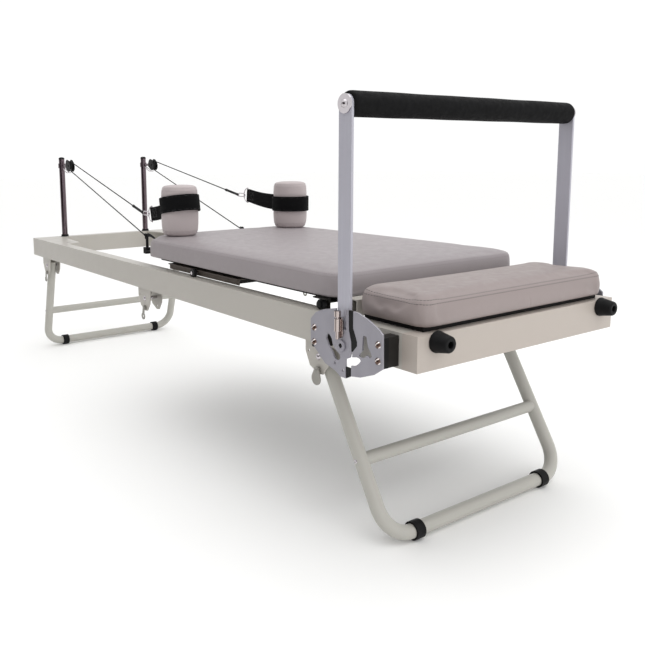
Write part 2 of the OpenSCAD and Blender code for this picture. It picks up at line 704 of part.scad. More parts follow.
grip_half = bar_in;
module footbar_tube() color("silver") at_pivot() translate([0, 0, bar_h]) difference() {
    y_rod(14, -grip_half, grip_half);
    y_rod(12, -grip_half - 1, grip_half + 1);
}
module footbar_grip() color("#1a1a1c") at_pivot() translate([0, 0, bar_h]) difference() {
    y_rod(grip_r, -grip_half + 0.5, grip_half - 0.5);
    y_rod(14 + run_gap, -grip_half, grip_half);
}
module footbar_bolts() color("silver") at_pivot() translate([0, 0, bar_h]) both_sides() {
    y_rod(pivot_r - run_gap, bar_in - 30, bar_out + 1);
    y_rod(bar_w / 2 + 0.5, bar_out, bar_out + 3);
    dome_head(9, 6, bar_out + 3);
}
// the round bosses outside the plates, on the footbar's pivot bolts
module index_discs() color("#98989f") at_pivot() both_sides() {
    y_rod(pivot_r - run_gap, half_w + 14, disc_in + 1);
    y_rod(pivot_r - 0.01, bar_in, bar_out);
    y_rod(10, half_w + 20, bar_in - 0.5);
    difference() {
        y_rod(disc_r, disc_in, disc_out);
        translate([0, disc_out + 1, 0]) rotate([90, 0, 0]) cylinder(r = 5.5, h = 3, $fn = 6);
    }
}

rail_left();
rail_right();
head_crossbar();
foot_crossbar();
spring_bar();
head_gussets();
riser_posts();
post_trim();
pulley_blocks();
platform_board();
platform_pad();
bumpers();
index_plates_rear();
index_plates_front();
plate_blocks();
plate_spacers();
plate_bolts();
plunger_housings();
leg_brackets();
leg_pivot_bolts();
spring_hooks();
pulley_left();
pulley_right();
carriage_board();
carriage_cushion();
truck_angles();
wheel_brackets();
spring_beam();
wheel_axles();
rest_left();
rest_right();
rest_bases();
rest_straps();
strap_rings();
rope_sleeves();
rope_cleats();
wheel_head_left();
wheel_head_right();
wheel_foot_left();
wheel_foot_right();
rope_left();
rope_right();
springs();
footbar_uprights();
footbar_tube();
footbar_grip();
footbar_bolts();
index_discs();
plunger_left();
plunger_right();
head_leg_frame();
head_leg_feet();
foot_leg_frame();
foot_leg_feet();
head_pin_left();
head_pin_right();
mid_pin_left();
mid_pin_right();
foot_pin_left();
foot_pin_right();
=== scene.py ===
"""The looks of the folding pilates reformer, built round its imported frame. Metres, +X to the foot end, +Z up."""
import math

import bpy
import numpy as np
from mathutils import Matrix, Vector
from mathutils.bvhtree import BVHTree
from mathutils.kdtree import KDTree


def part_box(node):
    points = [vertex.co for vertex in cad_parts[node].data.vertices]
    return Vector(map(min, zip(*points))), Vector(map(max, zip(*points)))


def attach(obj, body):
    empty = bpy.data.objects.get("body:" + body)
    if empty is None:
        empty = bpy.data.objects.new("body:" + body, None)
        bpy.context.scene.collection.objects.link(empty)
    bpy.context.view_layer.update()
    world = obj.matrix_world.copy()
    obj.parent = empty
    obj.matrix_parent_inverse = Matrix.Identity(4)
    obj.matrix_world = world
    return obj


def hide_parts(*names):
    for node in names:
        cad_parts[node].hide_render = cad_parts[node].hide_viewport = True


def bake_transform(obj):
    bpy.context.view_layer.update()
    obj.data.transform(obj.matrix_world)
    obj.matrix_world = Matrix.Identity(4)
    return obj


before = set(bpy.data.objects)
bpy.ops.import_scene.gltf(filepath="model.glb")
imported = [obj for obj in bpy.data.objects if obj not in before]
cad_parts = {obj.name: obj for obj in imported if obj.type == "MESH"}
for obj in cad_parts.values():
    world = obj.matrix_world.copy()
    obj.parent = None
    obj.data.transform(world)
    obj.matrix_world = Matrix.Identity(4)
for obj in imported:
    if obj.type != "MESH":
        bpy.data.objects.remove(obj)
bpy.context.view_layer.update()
scene = bpy.context.scene
UP = np.array([0.0, 0.0, 1.0])
SIDES = {"left": -1, "right": 1}
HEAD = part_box("head_crossbar")[0][0]


def corner_box(node):
    lo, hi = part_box(node)
    return np.array(lo), np.array(hi)


# ---------------------------------------------------------------- materials
def paint(r, g, b):
    """A linear colour from its 0 to 255 screen values."""
    return [((c / 255 + 0.055) / 1.055) ** 2.4 if c > 10 else c / 255 / 12.92 for c in (r, g, b)]


def shade(color, k):
    return [min(1.0, c * k) for c in color] + [1.0]


class Surface:
    """A procedural material: drifting colour and roughness, and layers of relief."""

    def __init__(self, name, color, rough, metal=0.0, vary=0.05, vary_scale=5.0, rough_vary=0.08,
                 rough_scale=30.0, stretch=(1, 1, 1), uv=False, **sockets):
        self.material = bpy.data.materials.new(name)
        self.material.use_nodes = True
        self.tree = self.material.node_tree
        self.bsdf = self.tree.nodes["Principled BSDF"]
        self.color = color
        coord = self.make("ShaderNodeTexCoord").outputs["UV" if uv else "Object"]
        self.vector = self.mapped(coord, stretch)
        self.raw = coord
        drift = self.noise(vary_scale, 4)
        self.tint = self.mix(drift, shade(color, 1 - vary), shade(color, 1 + vary))
        self.link(self.tint, self.bsdf.inputs["Base Color"])
        smoothest, roughest = max(0.02, rough - rough_vary), min(1, rough + rough_vary)
        self.rough = self.span(self.noise(rough_scale, 5), smoothest, roughest)
        self.link(self.rough, self.bsdf.inputs["Roughness"])
        self.bsdf.inputs["Metallic"].default_value = metal
        for key, value in sockets.items():
            self.bsdf.inputs[key.replace("_", " ")].default_value = value
        self.normal = None

    def make(self, kind):
        return self.tree.nodes.new(kind)

    def link(self, a, b):
        self.tree.links.new(a, b)

    def mapped(self, coord, scale, turn=(0, 0, 0)):
        node = self.make("ShaderNodeMapping")
        node.inputs["Scale"].default_value = scale
        node.inputs["Rotation"].default_value = turn
        self.link(coord, node.inputs["Vector"])
        return node.outputs[0]

    def noise(self, scale, detail=3.0, vector=None):
        node = self.make("ShaderNodeTexNoise")
        node.inputs["Scale"].default_value = scale
        node.inputs["Detail"].default_value = detail
        self.link(vector or self.vector, node.inputs["Vector"])
        return node.outputs[0]

    def cells(self, scale, vector=None):
        node = self.make("ShaderNodeTexVoronoi")
        node.feature = "SMOOTH_F1"
        node.inputs["Scale"].default_value = scale
        self.link(vector or self.vector, node.inputs["Vector"])
        return node.outputs["Distance"]

    def wave(self, scale, axis, distortion=0.0, vector=None):
        node = self.make("ShaderNodeTexWave")
        node.bands_direction = axis
        node.inputs["Scale"].default_value = scale
        node.inputs["Distortion"].default_value = distortion
        self.link(vector or self.vector, node.inputs["Vector"])
        return node.outputs["Fac"]

    def mix(self, fac, a, b):
        node = self.make("ShaderNodeMix")
        node.data_type = "RGBA"
        self.link(fac, node.inputs[0])
        for socket, value in ((node.inputs[6], a), (node.inputs[7], b)):
            if hasattr(value, "is_output"):
                self.link(value, socket)
            else:
                socket.default_value = value
        return node.outputs[2]

    def math(self, kind, a, b):
        node = self.make("ShaderNodeMath")
        node.operation = kind
        for socket, value in ((node.inputs[0], a), (node.inputs[1], b)):
            if hasattr(value, "is_output"):
                self.link(value, socket)
            else:
                socket.default_value = value
        return node.outputs[0]

    def span(self, value, low, high, start=0.3, end=0.7):
        node = self.make("ShaderNodeMapRange")
        for key, number in (("From Min", start), ("From Max", end), ("To Min", low), ("To Max", high)):
            node.inputs[key].default_value = number
        self.link(value, node.inputs["Value"])
        return node.outputs[0]

    def relief(self, height, strength, distance):
        node = self.make("ShaderNodeBump")
        node.inputs["Strength"].default_value = strength
        node.inputs["Distance"].default_value = distance
        self.link(height, node.inputs["Height"])
        if self.normal:
            self.link(self.normal, node.inputs["Normal"])
        self.normal = node.outputs[0]
        self.link(self.normal, self.bsdf.inputs["Normal"])
        return self

    def recolor(self, fac, other, low=0.0, high=1.0):
        """Mixes another colour over the tint where fac is high."""
        self.tint = self.mix(self.span(fac, low, high, 0.55, 0.75), self.tint, other + [1.0])
        self.link(self.tint, self.bsdf.inputs["Base Color"])
        return self


def steel_paint(name, color, rough=0.38):
    s = Surface(name, color, rough, vary=0.025, vary_scale=3, rough_vary=0.07, Coat_Weight=0.08,
                Coat_Roughness=0.3, Specular_IOR_Level=0.35)
    s.relief(s.noise(260, 2), 0.10, 0.0006)
    return s.relief(s.noise(9, 3), 0.05, 0.002).material


def leather(name, color):
    s = Surface(name, color, 0.5, vary=0.05, vary_scale=6, rough_vary=0.08, rough_scale=60,
                Specular_IOR_Level=0.35)
    s.relief(s.cells(620), 0.35, 0.00035)
    s.relief(s.noise(150, 4), 0.16, 0.0008)
    return s.relief(s.noise(14, 3), 0.10, 0.003).material


def plastic(name, color, rough, grain=420.0, depth=0.2):
    s = Surface(name, color, rough, vary=0.15, vary_scale=14, rough_vary=0.1, rough_scale=45,
                Specular_IOR_Level=0.16)
    return s.relief(s.noise(grain, 3), depth, 0.0005).material


def rubber(name, color):
    s = Surface(name, color, 0.55, vary=0.2, vary_scale=20, rough_vary=0.12, rough_scale=50,
                Specular_IOR_Level=0.14)
    s.relief(s.cells(900), 0.2, 0.0003)
    return s.relief(s.noise(60, 3), 0.12, 0.001).material


def foam(name, color):
    s = Surface(name, color, 0.72, vary=0.25, vary_scale=30, rough_vary=0.1, rough_scale=80,
                Specular_IOR_Level=0.1)
    s.relief(s.cells(750), 0.5, 0.0006)
    return s.relief(s.noise(260, 4), 0.3, 0.0008).material


def chrome(name, color, rough=0.08, painted_tone=None, turns=(5.0, 4.0)):
    """Polished metal; painted_tone is a second tone painted where the surface faces certain ways, used for a painted
    highlight on the bolts and painted dark reflections on the plungers.
    """
    s = Surface(name, color, rough, metal=1.0, vary=0.06, vary_scale=18, rough_vary=0.035, rough_scale=90)
    if painted_tone:
        facing = s.make("ShaderNodeSeparateXYZ")
        s.link(s.make("ShaderNodeTexCoord").outputs["Normal"], facing.inputs[0])
        across = s.math("MULTIPLY", facing.outputs["X"], turns[0])
        s.recolor(s.math("SINE", s.math("ADD", across, s.math("MULTIPLY", facing.outputs["Z"], turns[1])), 0.0),
                  painted_tone, 0.0, 0.9)
    return s.relief(s.noise(35, 2), 0.03, 0.0015).material


def brushed(name, color, rough, stretch, metal=0.85):
    s = Surface(name, color, rough, metal=metal, vary=0.05, vary_scale=40, rough_vary=0.09, rough_scale=30,
                stretch=stretch)
    return s.relief(s.noise(90, 4), 0.14, 0.0004).material


def board_black(name, color):
    s = Surface(name, color, 0.6, vary=0.25, vary_scale=16, rough_vary=0.1, stretch=(1, 9, 9),
                Specular_IOR_Level=0.15)
    return s.relief(s.noise(70, 5), 0.25, 0.0008).material


def webbing(name, color):
    s = Surface(name, color, 0.78, vary=0.22, vary_scale=60, rough_vary=0.08, uv=True, Specular_IOR_Level=0.08)
    across = s.wave(150, "X")
    along = s.wave(115, "Y")
    return s.relief(s.math("MULTIPLY", across, along), 0.6, 0.0009).material


def braid(name, color, fleck):
    s = Surface(name, color, 0.62, vary=0.2, vary_scale=60, rough_vary=0.1, uv=True, Specular_IOR_Level=0.15)
    one = s.wave(100, "X", vector=s.mapped(s.raw, (1, 1, 1), (0, 0, 0.7)))
    two = s.wave(100, "X", vector=s.mapped(s.raw, (1, 1, 1), (0, 0, -0.7)))
    crossing = s.math("MAXIMUM", one, two)
    s.recolor(s.math("MULTIPLY", one, two), fleck, 0.0, 0.5)
    return s.relief(crossing, 0.7, 0.0009).material


def thread(name, color):
    s = Surface(name, color, 0.6, vary=0.1, vary_scale=300, rough_vary=0.1, rough_scale=300, Sheen_Weight=0.3)
    return s.relief(s.noise(2500, 2), 0.4, 0.0002).material


FRAME_PAINT = steel_paint("frame_paint", paint(180, 176, 169))
# A darker, warmer copy of the frame paint for the foot crossbar: painted shade that tones down its lit foot face.
CROSS_PAINT_SHADED = steel_paint("crossbar_paint_shaded", paint(180, 171, 163))
# A slightly lighter copy of the frame paint for the legs: painted light for the light thrown up from the floor.
LEG_PAINT_LIT = steel_paint("leg_paint", paint(180, 178, 171), 0.42)
LEATHER = leather("cushion_leather", paint(151, 144, 146))
PAD_LEATHER = leather("pad_leather", paint(149, 138, 136))
REST_LEATHER = leather("rest_leather", paint(178, 168, 168))
CHROME = chrome("chrome", [0.55, 0.52, 0.54])
DARK_CHROME = chrome("dark_chrome", [0.155, 0.12, 0.135], 0.12)
# Dark bolt heads with a pale tone painted where the domes face up and towards the head end: a painted highlight.
BOLT_STEEL = chrome("bolt_steel", [0.13, 0.085, 0.07], 0.12, [0.85, 0.80, 0.78], (-4.0, 4.0))
# Warm chrome with near-black bands painted where the surface faces certain ways: painted dark reflections.
WARM_CHROME = chrome("warm_chrome", [0.52, 0.45, 0.43], 0.14, [0.045, 0.032, 0.032], (7.0, 2.0))
PLATE = brushed("plate_steel", paint(152, 150, 158), 0.42, (1.0, 1.0, 0.25), 0.4)
BAR = brushed("bar_steel", paint(180, 179, 189), 0.42, (6.0, 6.0, 0.2), 0.3)
PIN_STEEL = brushed("pin_steel", paint(150, 148, 142), 0.4, (1, 1, 1), 0.6)
SPRING_STEEL = brushed("spring_steel", paint(140, 140, 144), 0.3, (0.2, 3, 3), 1.0)
BLACK_PLASTIC = plastic("black_plastic", paint(20, 20, 21), 0.45)
WHEEL_PLASTIC = plastic("wheel_plastic", paint(34, 34, 36), 0.4, 300)
# The black bracket paint also goes on the plate blocks, darkening them as painted shade between the plates and the
# rail.
BLACK_STEEL_AND_SHADE = plastic("black_bracket_paint_and_shade", paint(34, 32, 30), 0.5)
# The truck angles are a mid brown-grey instead of bracket black: a painted reflection, made lighter still as painted
# light against the shade under the cushion.
TRUCK_REFLECTION_PAINT = plastic("truck_painted_reflection", paint(96, 88, 82), 0.42)
BOARD = board_black("black_board", paint(20, 19, 19))
RUBBER = rubber("black_rubber", paint(17, 17, 18))
FOAM = foam("grip_foam", paint(17, 17, 18))
WEBBING = webbing("black_webbing", paint(15, 15, 16))
ROPE = braid("rope_braid", paint(24, 25, 26), paint(70, 72, 72))
THREAD = thread("cushion_thread", paint(112, 103, 102))
DARK_THREAD = thread("pad_thread", paint(74, 67, 67))
BLACK_THREAD = thread("strap_thread", paint(34, 34, 36))


# ---------------------------------------------------------------- mesh tools
def dress(obj, material, body, replaces=()):
    obj.data.materials.clear()
    obj.data.materials.append(material)
    if body:
        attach(obj, body)
    if replaces:
        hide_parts(*replaces)
    return obj


def mesh_piece(name, verts, faces, uvs=None, smooth=True):
    mesh = bpy.data.meshes.new(name)
    mesh.from_pydata([tuple(map(float, v)) for v in verts], [], faces)
    mesh.update()
    mesh.polygons.foreach_set("use_smooth", [smooth] * len(mesh.polygons))
    if uvs is not None:
        layer = mesh.uv_layers.new(name="UVMap")
        flat = [c for loop in mesh.loops for c in uvs[loop.vertex_index]]
        layer.data.foreach_set("uv", flat)
    obj = bpy.data.objects.new(name, mesh)
    scene.collection.objects.link(obj)
    return obj


def loft(name, rings, loop=False, caps=True, uv_size=None):
    """A skin over rings of equal length. With loop, the last ring joins the first."""
    n, count = len(rings[0]), len(rings)
    verts = [v for ring in rings for v in ring]
    faces = []
    for k in range(count if loop else count - 1):
        a, b = k * n, (k + 1) % count * n
        faces += [(a + j, a + (j + 1) % n, b + (j + 1) % n, b + j) for j in range(n)]
    if caps and not loop:
        faces += [tuple(reversed(range(n))), tuple(range((count - 1) * n, count * n))]
    uvs = None
    if uv_size:
        centres = np.array([np.mean(r, axis=0) for r in rings])
        run = np.concatenate([[0], np.cumsum(np.linalg.norm(np.diff(centres, axis=0), axis=1))])
        uvs = [(run[k], uv_size * j / n) for k in range(count) for j in range(n)]
    return mesh_piece(name, verts, faces, uvs)


def unit(v):
    v = np.asarray(v, float)
    return v / max(1e-12, np.linalg.norm(v))


def tangents(path, loop):
    path = np.asarray(path, float)
    if loop:
        d = np.roll(path, -1, 0) - np.roll(path, 1, 0)
    else:
        d = np.gradient(path, axis=0)
    return d / np.linalg.norm(d, axis=1)[:, None]


def section_sweep(name, path, section, up=UP, loop=False, uv_size=None, tall=None):
    """Sweeps a flat section, given as (across, up) pairs, along a path; tall scales its height on the way."""
    path, t = np.asarray(path, float), tangents(path, loop)
    ups = np.broadcast_to(np.asarray(up, float), path.shape)
    rings = []
    for p, d, u, k in zip(path, t, ups, np.ones(len(path)) if tall is None else tall):
        side = unit(np.cross(u, d))
        top = unit(np.cross(d, side))
        rings.append([p + a * side + b * k * top for a, b in section])
    return loft(name, rings, loop, uv_size=uv_size)


def circle_section(r, sides):
    return [(r * math.cos(2 * math.pi * j / sides), r * math.sin(2 * math.pi * j / sides))
            for j in range(sides)]


def tube(name, path, r, sides=12, loop=False, up=UP, uv=False):
    return section_sweep(name, path, circle_section(r, sides), up, loop, 2 * math.pi * r if uv else None)


def rounded_strip(w, t, r, steps=3):
    """The section of a strap: w tall, t thick, with rounded edges."""
    points = []
    for cx, cy, a0 in ((t / 2 - r, w / 2 - r, 0), (r - t / 2, w / 2 - r, 90), (r - t / 2, r - w / 2, 180),
                       (t / 2 - r, r - w / 2, 270)):
        for k in range(steps + 1):
            a = math.radians(a0 + 90 * k / steps)
            points.append((cx + r * math.cos(a), cy + r * math.sin(a)))
    return points


def lathe(name, profile, centre, axis="Z", steps=96):
    rings = []
    for k in range(steps):
        a = 2 * math.pi * k / steps
        c, s = math.cos(a), math.sin(a)
        if axis == "Z":
            rings.append([centre + np.array([r * c, r * s, z]) for r, z in profile])
        elif axis == "Y":
            rings.append([centre + np.array([r * c, z, r * s]) for r, z in profile])
        else:
            rings.append([centre + np.array([z, r * c, r * s]) for r, z in profile])
    n = len(profile)
    verts = [v for ring in rings for v in ring]
    faces = [(a * n + j, a * n + j + 1, (a + 1) % steps * n + j + 1, (a + 1) % steps * n + j)
             for a in range(steps) for j in range(n - 1)]
    obj = mesh_piece(name, verts, faces)
    tidy_mesh(obj)
    return obj


def tidy_mesh(obj):
    """Joins doubled points and turns the faces outwards."""
    import bmesh
    bm = bmesh.new()
    bm.from_mesh(obj.data)
    bmesh.ops.remove_doubles(bm, verts=bm.verts, dist=1e-6)
    bmesh.ops.dissolve_degenerate(bm, edges=bm.edges, dist=1e-7)
    bmesh.ops.recalc_face_normals(bm, faces=bm.faces)
    bm.to_mesh(obj.data)
    bm.free()
    obj.data.polygons.foreach_set("use_smooth", [True] * len(obj.data.polygons))


def baked(obj):
    """Applies every modifier."""
    bpy.context.view_layer.update()
    made = bpy.data.meshes.new_from_object(obj.evaluated_get(bpy.context.evaluated_depsgraph_get()))
    obj.modifiers.clear()
    obj.data = made
    return obj


def points_of(obj):
    flat = np.empty(len(obj.data.vertices) * 3, np.float32)
    obj.data.vertices.foreach_get("co", flat)
    return flat.reshape(-1, 3).astype(float)


def set_points(obj, points):
    obj.data.vertices.foreach_set("co", points.astype(np.float32).ravel())
    obj.data.update()


def normals_of(obj):
    flat = np.empty(len(obj.data.vertices) * 3, np.float32)
    obj.data.vertex_normals.foreach_get("vector", flat)
    return flat.reshape(-1, 3).astype(float)


def swell(obj, voxel, pressure, cap, base_z, pin_height=0.004, bend=0.6):
    """Inflates a closed piece as sewn fabric over foam; its underside stays flat at base_z."""
    remesh = obj.modifiers.new("remesh", "REMESH")
    remesh.mode = "VOXEL"
    remesh.voxel_size = voxel
    baked(obj)
    start = points_of(obj)
    pins = obj.vertex_groups.new(name="pins")
    pins.add([int(i) for i in np.nonzero(start[:, 2] < base_z + pin_height)[0]], 1.0, "REPLACE")
    cloth = obj.modifiers.new("cloth", "CLOTH")
    s = cloth.settings
    s.quality = 5
    s.mass = 0.3
    s.tension_stiffness = s.compression_stiffness = 18
    s.shear_stiffness = 8
    s.bending_stiffness = bend
    s.use_pressure = True
    s.uniform_pressure_force = pressure
    s.effector_weights.gravity = 0
    s.vertex_group_mass = "pins"
    cloth.point_cache.frame_start, cloth.point_cache.frame_end = 1, 20
    for f in range(1, 21):
        scene.frame_set(f)
    baked(obj)
    scene.frame_set(1)
    moved = points_of(obj) - start
    size = np.linalg.norm(moved, axis=1, keepdims=True)
    set_points(obj, start + moved * np.minimum(1, cap / np.maximum(size, 1e-9)))
    obj.vertex_groups.clear()
    smooth = obj.modifiers.new("smooth", "SMOOTH")
    smooth.factor, smooth.iterations = 0.5, 4
    split = obj.modifiers.new("split", "SUBSURF")
    split.levels = split.render_levels = 1
    baked(obj)
    points = points_of(obj)
    points[:, 2] = np.maximum(points[:, 2], base_z)
    set_points(obj, points)
    obj.data.polygons.foreach_set("use_smooth", [True] * len(obj.data.polygons))
    return obj


def resample(path, step, loop=False):
    path = np.asarray(path, float)
    if loop:
        path = np.vstack([path, path[:1]])
    run = np.concatenate([[0], np.cumsum(np.linalg.norm(np.diff(path, axis=0), axis=1))])
    count = max(2, int(round(run[-1] / step)) + 1)
    at = np.linspace(0, run[-1], count)
    if loop:
        at = at[:-1]
    return np.column_stack([np.interp(at, run, path[:, k]) for k in range(3)])


def press(obj, path, width, depth, loop=False):
    """Presses a groove along a path into the surface."""
    samples = resample(path, 0.003, loop)
    tree = KDTree(len(samples))
    for i, p in enumerate(samples):
        tree.insert(p, i)
    tree.balance()
    points, normals = points_of(obj), normals_of(obj)
    lo, hi = samples.min(0) - 4 * width, samples.max(0) + 4 * width
    for i in np.nonzero(((points > lo) & (points < hi)).all(1))[0]:
        d = tree.find(points[i])[2]
        if d < 3 * width:
            points[i] -= normals[i] * depth * math.exp(-(d / width) ** 2)
    set_points(obj, points)


def surface_of(obj):
    return BVHTree.FromPolygons([tuple(p) for p in points_of(obj)],
                                [tuple(p.vertices) for p in obj.data.polygons])


def stitches(name, tree, rows, length=0.0045, gap=0.0028, r=0.00055, lift=0.0):
    """Rows of thread stitches that lie on a surface."""
    verts, faces = [], []
    ends = ((-0.5, 0.35), (-0.36, 0.85), (0.0, 1.0), (0.36, 0.85), (0.5, 0.35))
    for path, loop in rows:
        samples = resample(path, length + gap, loop)
        t = tangents(samples, loop)
        for p, d in zip(samples, t):
            spot, normal, _, _ = tree.find_nearest(p)
            if spot is None:
                continue
            spot, normal = np.array(spot), unit(normal)
            along = unit(d - normal * np.dot(d, normal))
            side = np.cross(normal, along)
            base = len(verts)
            for at, k in ends:
                for j in range(6):
                    a = math.pi * j / 3
                    verts.append(spot + normal * lift + along * at * length
                                 + r * k * (math.cos(a) * side * 1.2 + math.sin(a) * normal))
            for q in range(len(ends) - 1):
                faces += [(base + q * 6 + j, base + q * 6 + (j + 1) % 6, base + q * 6 + 6 + (j + 1) % 6,
                           base + q * 6 + 6 + j) for j in range(6)]
            last = base + (len(ends) - 1) * 6
            faces += [tuple(base + 5 - j for j in range(6)), tuple(last + j for j in range(6))]
    return mesh_piece(name, verts, faces)


# ---------------------------------------------------------------- cushions
def rounded_outline(corners, radii, step=0.01):
    """A closed outline with its corners rounded, counter-clockwise."""
    corners = [np.array(c, float) for c in corners]
    points = []
    for i, (c, r) in enumerate(zip(corners, radii)):
        a, b = unit(corners[i - 1] - c), unit(corners[(i + 1) % len(corners)] - c)
        half = math.acos(np.clip(np.dot(a, b), -1, 1)) / 2
        cut, far = r / math.tan(half), r / math.sin(half)
        mid = c + unit(a + b) * far
        p, q = c + a * cut - mid, c + b * cut - mid
        for k in range(9):
            v = unit(p * (1 - k / 8) + q * (k / 8)) * r
            points.append(mid + v)
    flat = resample([(x, y, 0) for x, y in points], step, True)
    return flat[:, :2]


def inset(outline, d):
    t = np.roll(outline, -1, 0) - np.roll(outline, 1, 0)
    t /= np.linalg.norm(t, axis=1)[:, None]
    return outline + d * np.column_stack([-t[:, 1], t[:, 0]])


def pillow(name, outline, z0, z1, edge, crown, bulge, voxel, pressure, cap):
    """A boxed cushion: flat base, slightly bulging sides, rounded top edge and a crowned top."""
    rings = [(0.006, z0), (0.002, z0 + 0.002)]
    height = z1 - edge - z0
    rings += [(-bulge * math.sin(math.pi * k / 5), z0 + 0.006 + (height - 0.006) * k / 5) for k in range(6)]
    rings += [(edge * (1 - math.cos(a)), z1 - edge + edge * math.sin(a))
              for a in np.radians([20, 40, 60, 75, 90])]
    skins = [[(x, y, z) for x, y in inset(outline, d)] for d, z in rings]
    last = inset(outline, edge)
    mid = last.mean(0)
    for s in (0.96, 0.9, 0.8, 0.66, 0.5, 0.3, 0.1):
        skins.append([(x, y, z1 + crown * (1 - s ** 2.5)) for x, y in mid + (last - mid) * s])
    return swell(loft(name, skins), voxel, pressure, cap, z0)


def edge_line(outline, z1, edge, angle):
    a = math.radians(angle)
    return [(x, y, z1 - edge + edge * math.sin(a)) for x, y in inset(outline, edge * (1 - math.cos(a)))]


def side_line(outline, at, z0, z1, edge, over=0.0):
    """A line up the side wall at the outline's point nearest to `at`, carried a little over the top."""
    i = int(np.argmin(np.linalg.norm(outline - np.array(at), axis=1)))
    x, y = outline[i]
    line = [(x, y, z0 + 0.002), (x, y, z1 - edge)]
    for a in (30, 60, 90):
        px, py = inset(outline, edge * (1 - math.cos(math.radians(a))))[i]
        line.append((px, py, z1 - edge + edge * math.sin(math.radians(a))))
    if over:
        px, py = inset(outline, edge + over)[i]
        line.append((px, py, z1))
    return line


lo, hi = corner_box("carriage_cushion")
CUT_X, CUT_Y = 0.094, 0.077
SHRINK = 0.0012
c_corners = [(lo[0] + CUT_X, lo[1] + SHRINK), (hi[0] - SHRINK, lo[1] + SHRINK), (hi[0] - SHRINK, hi[1] - SHRINK),
             (lo[0] + CUT_X, hi[1] - SHRINK), (lo[0] + SHRINK, hi[1] - CUT_Y), (lo[0] + SHRINK, lo[1] + CUT_Y)]
c_outline = rounded_outline(c_corners, (0.03, 0.05, 0.05, 0.03, 0.022, 0.022), 0.009)
C_EDGE = 0.011
c_z0, c_z1 = lo[2] + 0.0002, hi[2] - 0.0025
cushion = pillow("carriage_cushion_cover", c_outline, c_z0, c_z1, C_EDGE, 0.003, 0.002, 0.0065, 4.0, 0.006)
press(cushion, edge_line(c_outline, c_z1, C_EDGE, 38), 0.0022, 0.0011, True)
c_seams = [side_line(c_outline, (hi[0], -0.008), c_z0, c_z1, C_EDGE),
           side_line(c_outline, (lo[0] + 0.30, lo[1]), c_z0, c_z1, C_EDGE),
           side_line(c_outline, (lo[0] + 0.30, hi[1]), c_z0, c_z1, C_EDGE)]
for line in c_seams:
    press(cushion, line, 0.0022, 0.0012)
dress(cushion, LEATHER, "carriage", ["carriage_cushion"])
c_rows = [(edge_line(c_outline, c_z1, C_EDGE, 12), True), (edge_line(c_outline, c_z1, C_EDGE, 66), True)]
c_stitches = stitches("carriage_cushion_stitches", surface_of(cushion), c_rows, 0.004, 0.003, 0.00035)
dress(c_stitches, THREAD, "carriage")

lo, hi = corner_box("platform_pad")
p_corners = [(lo[0] + SHRINK, lo[1] + SHRINK), (hi[0] - SHRINK, lo[1] + SHRINK), (hi[0] - SHRINK, hi[1] - SHRINK),
             (lo[0] + SHRINK, hi[1] - SHRINK)]
p_outline = rounded_outline(p_corners, (0.03,) * 4, 0.006)
P_EDGE = 0.010
p_z0, p_z1 = lo[2] + 0.0002, hi[2] - 0.0025
pad = pillow("platform_pad_cover", p_outline, p_z0, p_z1, P_EDGE, 0.004, 0.002, 0.005, 4.0, 0.006)
press(pad, edge_line(p_outline, p_z1, P_EDGE, 42), 0.0020, 0.0014, True)
for at in ((hi[0], 0.02), (lo[0], -0.02)):
    press(pad, side_line(p_outline, at, p_z0, p_z1, P_EDGE), 0.0020, 0.0014)
dress(pad, PAD_LEATHER, "frame", ["platform_pad"])
p_rows = [(edge_line(p_outline, p_z1, P_EDGE, 8), True), (edge_line(p_outline, p_z1, P_EDGE, 74), True)]
dress(stitches("platform_pad_stitches", surface_of(pad), p_rows, 0.0045, 0.003, 0.0007), DARK_THREAD, "frame")

